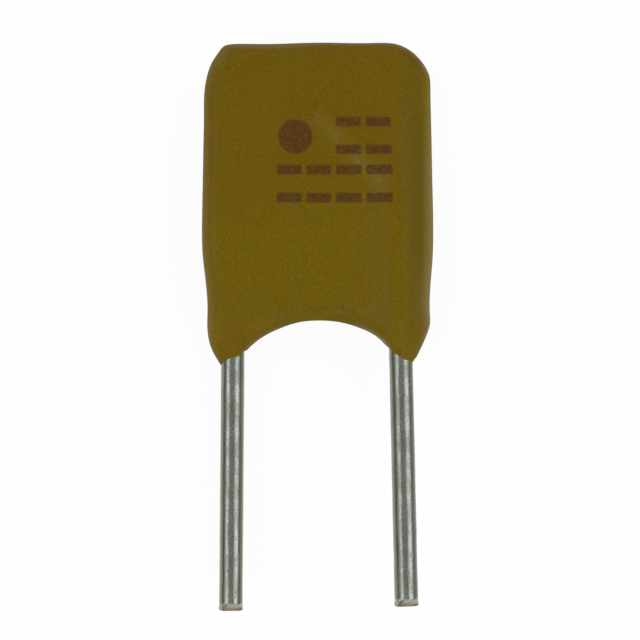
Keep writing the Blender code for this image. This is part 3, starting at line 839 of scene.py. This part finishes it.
def lead_pose(sizes, side, splay):
    """From a lead's own frame, +Z up the lead and +Y to the front, to the fuse's upright frame."""
    form = CoatingForm(sizes)
    exit_point = Vector((side * form.half_pitch, form.arch_end(side), side * form.lead_offset))
    upright = Matrix.Rotation(math.radians(90), 4, "X") @ Matrix.Rotation(math.radians(180), 4, "Y")
    return Matrix.Translation(exit_point) @ Matrix.Rotation(side * splay, 4, "Z") @ upright


def tip_shape(place, above, radius, sizes):
    """Where a point of the wire goes, at most a pinch's height above the end: both blades flatten it."""
    across = place.x / radius
    half_depth = math.sqrt(max(radius * radius - place.x * place.x, 0))
    deepest = sizes.pinch_edge + (half_depth - sizes.pinch_edge) * min(above, 1.0)
    y = max(-deepest, min(deepest, place.y)) if half_depth > sizes.pinch_edge else place.y
    flare = 1 + sizes.pinch_flare * (1 - above)
    facet = above * sizes.pinch_height * (1 - sizes.pinch_arc * across * across)
    rounded = sizes.pinch_corner * across ** PINCH_CORNER_POWER * (1 - above)
    return Vector((place.x * flare, y, facet + rounded))


def tinned_wire(sizes, finish, side, drop):
    """A plated wire with its long unevenness and a tip that side cutters pinched off."""
    radius = sizes.lead_diameter / 2
    exit_height = CoatingForm(sizes).arch_end(side)
    low, high = -(drop + exit_height), sizes.lead_lap - exit_height
    rings = TIP_RINGS + WIRE_RINGS
    bm = bmesh.new()
    bmesh.ops.create_cone(bm, cap_ends=True, segments=WIRE_SIDES, radius1=radius, radius2=radius, depth=1)
    runs = [e for e in bm.edges if abs(e.verts[0].co.z - e.verts[1].co.z) > 0.5]
    bmesh.ops.subdivide_edges(bm, edges=runs, cuts=rings - 1)
    places = bm.verts.layers.float_vector.new("wire_place")
    for vert in bm.verts:
        ring = round((vert.co.z + 0.5) * rings)
        flat_place = Vector((vert.co.x, vert.co.y, 0))
        if ring <= TIP_RINGS:
            local = tip_shape(flat_place, ring / TIP_RINGS, radius, sizes)
        else:
            along = (ring - TIP_RINGS) / WIRE_RINGS
            start = tip_shape(flat_place, 1.0, radius, sizes).z
            local = flat_place + Vector((0, 0, start + along * (high - low - start)))
        stretched = Vector((local.x, local.y, local.z / WIRE_WAVE_STRETCH))
        uneven = finish.tin_wave * wave(stretched, WIRE_WAVE_SPACING, side)
        vert.co = local + flat_place.normalized() * uneven + Vector((0, 0, low))
        vert[places] = local / MILLIMETRE
    bmesh.ops.recalc_face_normals(bm, faces=bm.faces)
    return bm


class FUSE_OT_leads(bpy.types.Operator):
    """Tinned copper wire leads, pinched off at their tips"""

    bl_idname = "fuse.leads"
    bl_label = "Tinned leads"

    def execute(self, context):
        sizes, finish = context.scene.fuse_sizes, context.scene.fuse_finish
        tin = tin_material(sizes, finish)
        leads = (
            ("front", 1, sizes.front_lead_drop, sizes.front_splay),
            ("rear", -1, sizes.rear_lead_drop, sizes.rear_splay),
        )
        for name, side, drop, splay in leads:
            lead = piece_from("tinned_" + name + "_lead", tinned_wire(sizes, finish, side, drop))
            lead.data.transform(fuse_pose(sizes) @ lead_pose(sizes, side, splay))
            lead.data.set_sharp_from_angle(angle=math.radians(SHARP_ANGLE))
            lead.data.materials.append(tin)
            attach(lead, "root")
            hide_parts(name + "_lead")
        return {"FINISHED"}


def tin_material(sizes, finish):
    """Hot-dipped tin gone dull: a fine grain that breaks the highlights, and bare copper at the cut."""
    made, tree = new_material("dull tin plating on copper")
    place = add_node(tree, "ShaderNodeAttribute", attribute_name="wire_place").outputs["Vector"]
    x, _, height = add_node(tree, "ShaderNodeSeparateXYZ", [place]).outputs
    drawn = add_node(tree, "ShaderNodeMapping", {"Vector": place, "Scale": (1, 1, DRAWN_STRETCH)})
    grain, patch, crumbs = [
        add_node(tree, "ShaderNodeTexNoise", {"Vector": at, "Scale": 1 / size, "Detail": detail})
        for at, size, detail in ((drawn, *TIN_GRAIN), (drawn, *TIN_PATCH), (place, *TIN_CRUMBS))
    ]
    dull = add_node(tree, "ShaderNodeMath", [grain, patch], operation="MULTIPLY")
    tone = faded(tree, (dull, *TIN_TONE))
    radius = sizes.lead_diameter / 2 / MILLIMETRE
    aside = chain(tree, "ShaderNodeMath", x, ("ABSOLUTE",), ("DIVIDE", radius))
    # Painted yellow tint of the floor's reflection where the wire turns away
    side_reflection_tint = faded(tree, (aside, *SIDE_REFLECTION_FADE))
    # Painted dark reflection in a band along both sides of the wire
    line = faded(tree, (aside, *DARK_REFLECTION_INNER), (aside, *DARK_REFLECTION_OUTER))
    smear = faded(tree, (height, *SMEAR_HEIGHT), (dull, *SMEAR_PATCHES))
    ragged = chain(tree, "ShaderNodeMath", crumbs, ("MULTIPLY", -SHEAR_RAGGEDNESS), ("ADD", height))
    bare = faded(tree, (ragged, *BARE_HEIGHT))
    colour = painted(
        tree,
        tuple(finish.tin_shade),
        (tone, finish.tin),
        (side_reflection_tint, finish.tin_side_reflection),
        (line, finish.tin_dark_reflection),
        (smear, finish.tin_smear),
        (bare, finish.copper),
    )
    look = {"Base Color": colour, "Metallic": 1.0, "Roughness": faded(tree, (tone, *TIN_ROUGHNESS))}
    finish_surface(tree, grain, *TIN_RELIEF, look)
    return made


def grainy_material(name, light, dark, grain_size, metallic, roughness, relief):
    """A dull hidden surface of light and dark grains, whose size and relief are in millimetres."""
    made, tree = new_material(name)
    metres = add_node(tree, "ShaderNodeTexCoord").outputs["Object"]
    place = add_node(tree, "ShaderNodeVectorMath", [metres, (MILLIMETRE,) * 3], operation="DIVIDE")
    pattern = {"Vector": place, "Scale": 1 / grain_size, "Detail": 3.0}
    grain = add_node(tree, "ShaderNodeTexNoise", pattern)
    tone = faded(tree, (grain, *HIDDEN_TONE))
    rough = faded(tree, (grain, *HIDDEN_GLOSS, roughness + HIDDEN_SWING, roughness - HIDDEN_SWING))
    colour = painted(tree, linear(dark), (tone, linear(light)))
    look = {"Base Color": colour, "Metallic": metallic, "Roughness": rough}
    finish_surface(tree, grain, HIDDEN_RELIEF, relief, look)
    return made


def polymer_material():
    """Polyethylene packed with carbon black: a dark matt body with a fine mealy grain."""
    shades = {"light": "#232326", "dark": "#141416"}
    return grainy_material(
        "carbon-filled polymer", **shades, grain_size=0.05, metallic=0.0, roughness=0.7, relief=0.004
    )


def foil_material():
    """Nickel foil plated rough so that the polymer keys into it: a warm dull metal with fine nodules."""
    shades = {"light": "#c0b9aa", "dark": "#a59e90"}
    return grainy_material(
        "nodular nickel foil", **shades, grain_size=0.03, metallic=1.0, roughness=0.45, relief=0.003
    )


def solder_material():
    """Solder that froze slowly: a satin grey metal, faintly frosted by its coarse crystals."""
    shades = {"light": "#b9bcbe", "dark": "#9a9ea1"}
    return grainy_material(
        "frosted solder", **shades, grain_size=0.12, metallic=1.0, roughness=0.38, relief=0.006
    )


class FUSE_OT_chip(bpy.types.Operator):
    """Finishes of the chip, foils and solder inside the coating"""

    bl_idname = "fuse.chip"
    bl_label = "Chip finishes"

    def execute(self, context):
        inside = (
            (("ptc_core",), polymer_material()),
            (("front_foil", "rear_foil"), foil_material()),
            (("front_solder", "rear_solder"), solder_material()),
        )
        for names, material in inside:
            for name in names:
                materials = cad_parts[name].data.materials
                materials.clear()
                materials.append(material)
        return {"FINISHED"}


def white_floor():
    """Matt white paper: its white shows to the camera and in the metal, and it keeps a faint shadow."""
    made, tree = new_material("matt white paper")
    paper = add_node(tree, "ShaderNodeBsdfDiffuse", {"Color": linear("#fafafa")})
    white = add_node(tree, "ShaderNodeEmission", {"Color": (1, 1, 1, 1), "Strength": 1.0})
    rays = add_node(tree, "ShaderNodeLightPath").outputs
    share_seen = chain(
        tree,
        "ShaderNodeMath",
        rays["Is Camera Ray"],
        ("ADD", rays["Is Glossy Ray"]),
        ("ADD", rays["Is Transmission Ray"]),
        ("MINIMUM", 1.0),
        ("MULTIPLY", FLOOR_GLOW),
    )
    mixed = add_node(tree, "ShaderNodeMixShader", [share_seen, paper, white])
    add_node(tree, "ShaderNodeOutputMaterial", {"Surface": mixed})
    return made


def dim_room(strength):
    """A dim neutral room around the studio."""
    world = bpy.data.worlds.new("dim room")
    world.use_nodes = True
    tree = world.node_tree
    tree.nodes.clear()
    sky = add_node(tree, "ShaderNodeBackground", {"Color": (1, 1, 1, 1), "Strength": strength})
    add_node(tree, "ShaderNodeOutputWorld", {"Surface": sky})
    return world


def softbox(name, distance, heading, radiance, tilt, short_side, long_side):
    """A softbox that faces the fuse, tilted from overhead towards its heading, both in degrees."""
    light = bpy.data.lights.new(name, "AREA")
    light.shape = "RECTANGLE"
    light.size, light.size_y = short_side, long_side
    light.energy = radiance * math.pi * short_side * long_side
    turn = Matrix.Rotation(math.radians(heading), 4, "Z") @ Matrix.Rotation(math.radians(tilt), 4, "Y")
    made = bpy.data.objects.new(name, light)
    made.matrix_world = turn @ Matrix.Translation((0, 0, distance))
    made.visible_camera = False
    bpy.context.scene.collection.objects.link(made)


def overhead_camera(studio):
    """A camera that looks straight down and shows the fuse at the photo's scale and place."""
    middle = PHOTO_SIDE / 2
    half_view = middle / PHOTO_SCALE / (studio.camera_height - studio.scale_height)
    camera = bpy.data.objects.new("camera", bpy.data.cameras.new("camera"))
    camera.data.angle = 2 * math.atan(half_view)
    camera.data.clip_start = 1 * MILLIMETRE
    at_x = (middle - FUSE_CENTRE_PIXEL[0]) / PHOTO_SCALE
    at_y = (FUSE_CENTRE_PIXEL[1] - middle) / PHOTO_SCALE
    camera.location = (at_x, at_y, studio.camera_height)
    bpy.context.scene.collection.objects.link(camera)
    return camera


class FUSE_OT_stage(bpy.types.Operator):
    """White floor, four softboxes, a panel overhead and the camera that looks straight down"""

    bl_idname = "fuse.stage"
    bl_label = "Studio"

    def execute(self, context):
        scene, studio = context.scene, context.scene.fuse_studio
        bm = bmesh.new()
        bmesh.ops.create_grid(bm, x_segments=1, y_segments=1, size=FLOOR_HALF_WIDTH)
        bmesh.ops.translate(bm, vec=(0, 0, -FLOOR_GAP), verts=bm.verts)
        floor = piece_from("floor", bm)
        floor.data.materials.append(white_floor())
        away = studio.softbox_distance
        softbox("left_softbox", away, 180, studio.side_light, *SIDE_SOFTBOX)
        softbox("right_softbox", away, 0, studio.side_light, *SIDE_SOFTBOX)
        softbox("head_softbox", away, 90, studio.end_light, *END_SOFTBOX)
        softbox("foot_softbox", away, 270, studio.end_light, *END_SOFTBOX)
        softbox("top_panel", 2 * away, 0, studio.top_light, *TOP_PANEL)
        scene.world = dim_room(studio.room_light)
        scene.camera = overhead_camera(studio)
        scene.view_settings.view_transform = "Standard"
        return {"FINISHED"}


class FUSE_PT_panel(bpy.types.Panel):
    """Lists the pieces and the studio"""

    bl_idname = "FUSE_PT_panel"
    bl_label = "Resettable fuse"
    bl_space_type = "VIEW_3D"
    bl_region_type = "UI"
    bl_category = "Fuse"

    def draw(self, context):
        for operator in OPERATORS:
            self.layout.operator(operator.bl_idname)


GROUPS = {"fuse_sizes": FuseSizes, "fuse_finish": FuseFinish, "fuse_studio": FuseStudio}
OPERATORS = (FUSE_OT_coating, FUSE_OT_leads, FUSE_OT_chip, FUSE_OT_stage)
CLASSES = (*GROUPS.values(), *OPERATORS, FUSE_PT_panel)


def register():
    for cls in CLASSES:
        bpy.utils.register_class(cls)
    for name, group in GROUPS.items():
        setattr(bpy.types.Scene, name, PointerProperty(type=group))


def unregister():
    for name in GROUPS:
        delattr(bpy.types.Scene, name)
    for cls in reversed(CLASSES):
        bpy.utils.unregister_class(cls)


def main():
    register()
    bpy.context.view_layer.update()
    bpy.ops.fuse.coating()
    bpy.ops.fuse.leads()
    bpy.ops.fuse.chip()
    bpy.ops.fuse.stage()
    bpy.context.view_layer.update()


if __name__ == "__main__":
    main()
